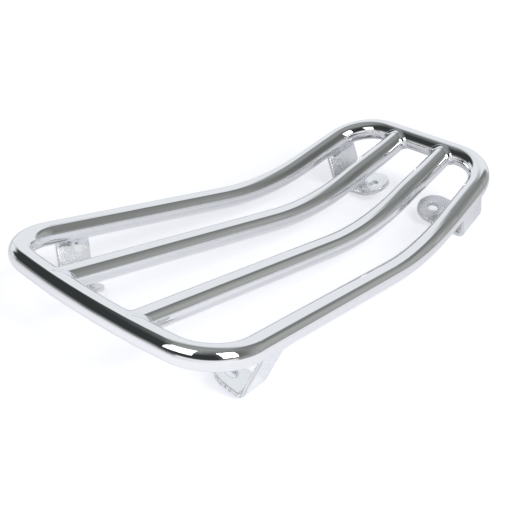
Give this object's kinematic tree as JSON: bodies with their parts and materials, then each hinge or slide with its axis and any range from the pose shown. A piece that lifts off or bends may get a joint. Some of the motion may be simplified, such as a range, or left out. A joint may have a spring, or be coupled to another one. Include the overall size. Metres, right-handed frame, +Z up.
{
  "type": "motorcycle luggage rack",
  "caption": "Small tubular luggage rack for a motorcycle: a bent closed tube loop with inner tubes between its ends and folded mounting tabs below.",
  "frame": {"origin": "on the ground under the middle of the rack's overall length and width, the rack standing on its tabs", "axes": "+X towards the narrow, raised rear end, +Y to the rack's left, +Z up"},
  "size_m": [0.2732, 0.1678, 0.0452],
  "materials": {
    "tube_chrome": "bright polished chrome plate",
    "tab_chrome": "chrome plate over plain bar, less polished",
    "weld_chrome": "chrome plate over weld beads"
  },
  "bodies": {
    "root": {"inner_bar_left": "tube_chrome", "inner_bar_right": "tube_chrome", "perimeter_loop": "tube_chrome", "tab_front_left": "tab_chrome", "tab_front_right": "tab_chrome", "tab_rear_left": "tab_chrome", "tab_rear_right": "tab_chrome", "weld_bar_front_left_a": "weld_chrome", "weld_bar_front_left_b": "weld_chrome", "weld_bar_front_right_a": "weld_chrome", "weld_bar_front_right_b": "weld_chrome", "weld_bar_rear_left_a": "weld_chrome", "weld_bar_rear_left_b": "weld_chrome", "weld_bar_rear_right_a": "weld_chrome", "weld_bar_rear_right_b": "weld_chrome", "weld_tab_front_left_inner": "weld_chrome", "weld_tab_front_left_outer": "weld_chrome", "weld_tab_front_right_inner": "weld_chrome", "weld_tab_front_right_outer": "weld_chrome", "weld_tab_rear_left_inner": "weld_chrome", "weld_tab_rear_left_outer": "weld_chrome", "weld_tab_rear_right_inner": "weld_chrome", "weld_tab_rear_right_outer": "weld_chrome"}
  },
  "joints": []
}
